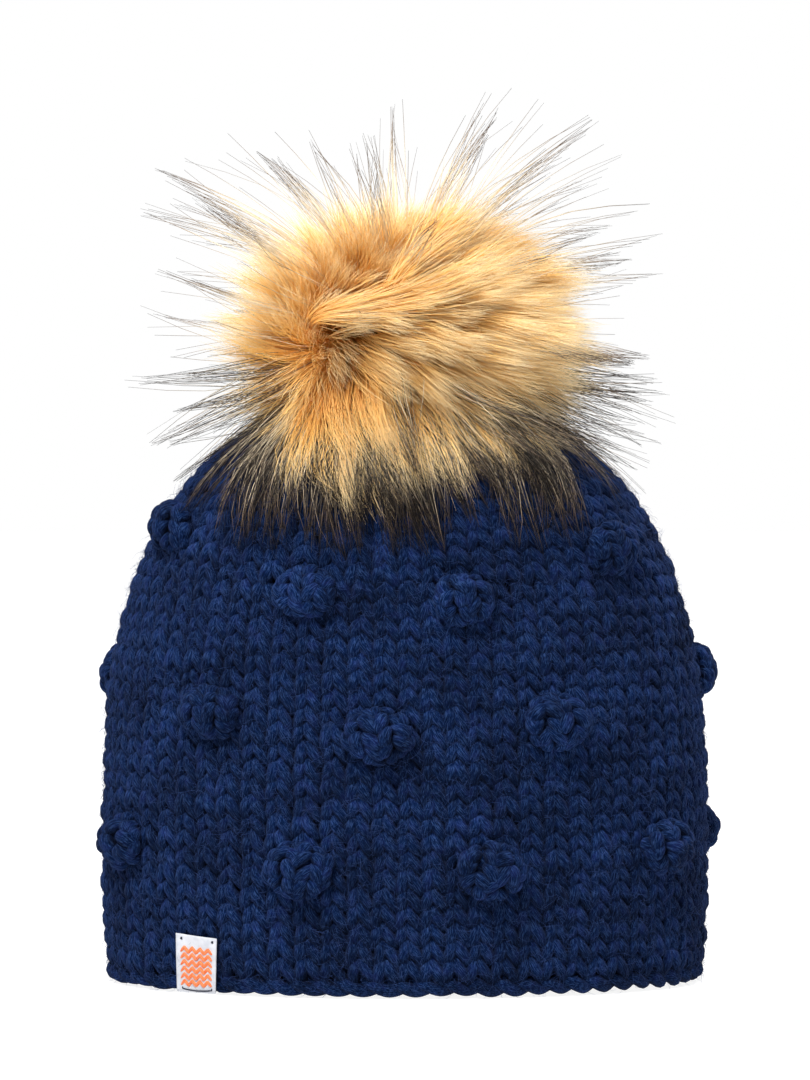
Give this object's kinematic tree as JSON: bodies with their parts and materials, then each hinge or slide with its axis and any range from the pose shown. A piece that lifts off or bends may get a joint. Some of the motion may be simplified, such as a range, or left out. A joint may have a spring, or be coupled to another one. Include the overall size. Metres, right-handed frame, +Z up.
{
  "type": "pom pom beanie",
  "caption": "Hand-knit beanie in thick yarn with rounds of bobbles, a small folded edge label and a removable faux-fur pom on a press stud.",
  "frame": {"origin": "middle of the hat's mouth, in the plane of the bottom edge", "axes": "+Z up through the crown and the pom; the front of the hat, with the label at its lower left, faces -Y; +X is to the viewer's right"},
  "size_m": [0.2162, 0.1705, 0.3019],
  "materials": {
    "navy_yarn": "matte",
    "woven_label": "matte",
    "label_thread": "matte",
    "navy_felt": "matte",
    "snap_metal": "satin",
    "brown_felt": "matte",
    "fur_backing": "matte",
    "fibre_filling": "matte",
    "fur_pile": "matte",
    "guard_hair": "matte"
  },
  "bodies": {
    "hat": {"cast_on_edge": "navy_yarn", "knit_body": "navy_yarn", "crown": "navy_yarn", "cinch_yarn": "navy_yarn", "bobbles_lower": "navy_yarn", "bobbles_middle": "navy_yarn", "bobbles_upper": "navy_yarn", "label_strip": "woven_label", "label_stitches": "label_thread", "snap_backing_disc": "navy_felt", "snap_post_cap": "snap_metal", "snap_stud": "snap_metal"},
    "snap_spring": {"snap_spring": "snap_metal"},
    "snap_socket": {"snap_socket": "snap_metal", "snap_socket_cap": "snap_metal", "pom_base_patch": "brown_felt"},
    "pom": {"pom_backing": "fur_backing", "pom_stuffing": "fibre_filling", "gather_thread": "label_thread", "pom_fur": "fur_pile", "guard_hair": "guard_hair"}
  },
  "joints": [
    {"name": "pom_lift", "type": "slide", "parent": "hat", "child": "snap_spring", "axis": [0, 0, 1], "range_m": [0, 0.06]},
    {"name": "pom_spin", "type": "hinge", "parent": "snap_spring", "child": "snap_socket", "pos_m": [0, 0, 0.2], "axis": [0, 0, 1], "continuous": true},
    {"name": "pom_tilt", "type": "hinge", "parent": "snap_socket", "child": "pom", "pos_m": [0, 0, 0.2089], "axis": [1, 0, 0], "range_deg": [-12, 12], "stiffness_Nm_per_rad": 0.08}
  ]
}
